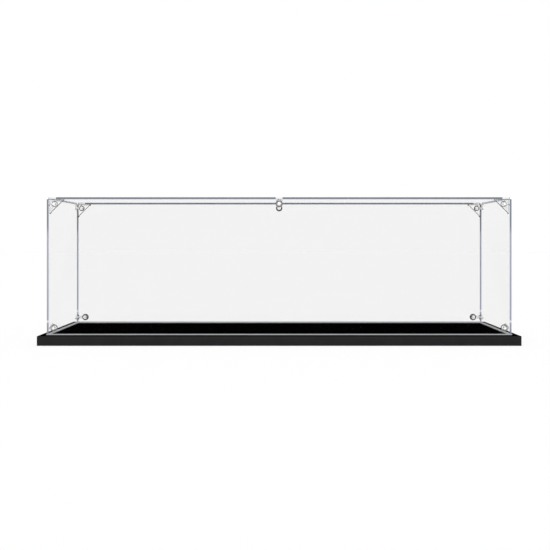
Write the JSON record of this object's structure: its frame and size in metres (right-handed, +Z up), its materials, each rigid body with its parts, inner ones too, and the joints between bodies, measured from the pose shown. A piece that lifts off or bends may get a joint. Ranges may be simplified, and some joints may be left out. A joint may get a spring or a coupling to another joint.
{
  "type": "display case",
  "caption": "Long low display case: clear acrylic cover clipped together with moulded brackets and pins, lifting off a black grooved base board.",
  "frame": {"origin": "centre of the base board's underside", "axes": "+X along the case's length to the right as seen from the front, -Y out of the front wall, +Z up"},
  "size_m": [0.5, 0.126, 0.154],
  "materials": {
    "clear_sheet": "polished",
    "moulded_clear": "gloss",
    "pin_plastic": "gloss",
    "seal_strip": "satin",
    "black_board": "satin"
  },
  "bodies": {
    "base": {"base_board": "black_board"},
    "cover": {"front_panel": "clear_sheet", "back_panel": "clear_sheet", "left_panel": "clear_sheet", "right_panel": "clear_sheet", "top_panel": "clear_sheet", "seal_front": "seal_strip", "seal_back": "seal_strip", "seal_left": "seal_strip", "seal_right": "seal_strip", "corner_bracket_front_left": "moulded_clear", "corner_bracket_front_right": "moulded_clear", "corner_bracket_back_left": "moulded_clear", "corner_bracket_back_right": "moulded_clear", "foot_bracket_front_left": "moulded_clear", "foot_bracket_front_right": "moulded_clear", "foot_bracket_back_left": "moulded_clear", "foot_bracket_back_right": "moulded_clear", "top_edge_bracket_front": "moulded_clear", "top_edge_bracket_back": "moulded_clear", "front_panel_pins": "pin_plastic", "back_panel_pins": "pin_plastic", "left_panel_pins": "pin_plastic", "right_panel_pins": "pin_plastic", "top_panel_pins": "pin_plastic"}
  },
  "joints": [
    {"name": "cover_lift", "type": "slide", "parent": "base", "child": "cover", "axis": [0, 0, 1], "range_m": [0, 0.16]}
  ]
}
